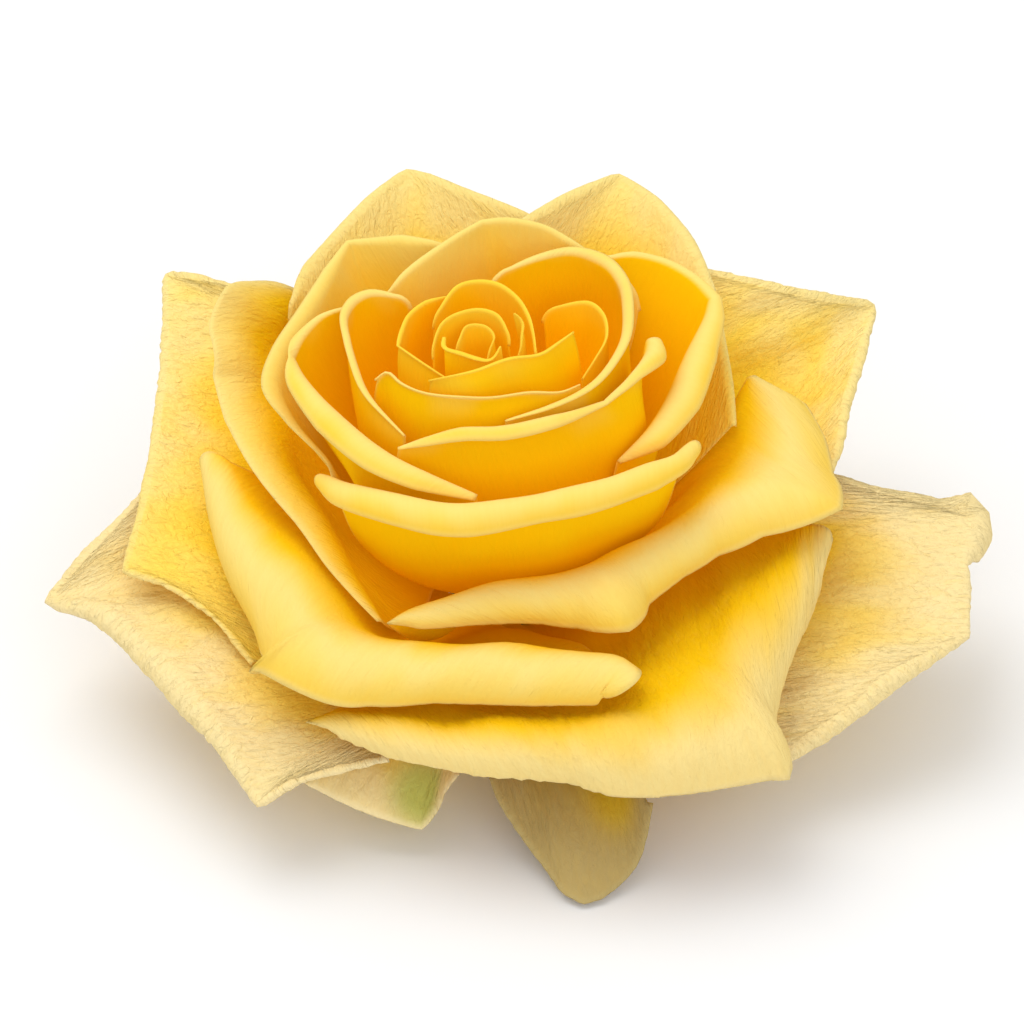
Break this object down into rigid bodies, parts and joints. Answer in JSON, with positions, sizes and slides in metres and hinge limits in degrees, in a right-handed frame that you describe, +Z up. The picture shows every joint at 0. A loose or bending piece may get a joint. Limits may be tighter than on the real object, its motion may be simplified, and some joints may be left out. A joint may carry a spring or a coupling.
{
  "type": "cut rose head",
  "caption": "Open yellow rose bloom with rolled-back petals in layers, cut just under its calyx and standing on the cut end of its short stub.",
  "frame": {"origin": "middle of the stub's flat cut end, on the surface the bloom stands on", "axes": "+Z up through the bloom, -Y towards the side where the petals open widest, +X to the right seen from there"},
  "size_m": [0.116, 0.0923, 0.0536],
  "materials": {
    "heart": "soft matte petal, deep golden yellow",
    "inner": "soft matte petal, golden yellow with a pale rim",
    "middle": "soft matte petal, yellow with a cream rolled edge",
    "outer": "soft matte petal, pale cream yellow, finely crinkled",
    "green": "matte green calyx"
  },
  "bodies": {
    "root": {"calyx": "green", "heart_petal_1": "heart", "heart_petal_2": "heart", "heart_petal_3": "heart", "heart_petal_4": "heart", "heart_petal_5": "heart", "heart_petal_6": "heart", "heart_petal_7": "heart", "heart_petal_8": "heart", "inner_petal_1": "inner", "inner_petal_2": "inner", "inner_petal_3": "inner", "inner_petal_4": "inner", "inner_petal_5": "inner", "inner_petal_6": "inner", "inner_petal_7": "inner", "inner_petal_8": "inner", "inner_petal_9": "inner", "middle_petal_1": "middle", "middle_petal_2": "middle", "middle_petal_3": "middle", "middle_petal_4": "middle", "middle_petal_5": "middle", "outer_petal_1": "outer", "outer_petal_2": "outer", "outer_petal_3": "outer", "outer_petal_4": "outer", "outer_petal_5": "outer", "outer_petal_6": "outer", "outer_petal_7": "outer", "back_petal_1": "outer", "back_petal_2": "outer", "back_petal_3": "outer"}
  },
  "joints": []
}
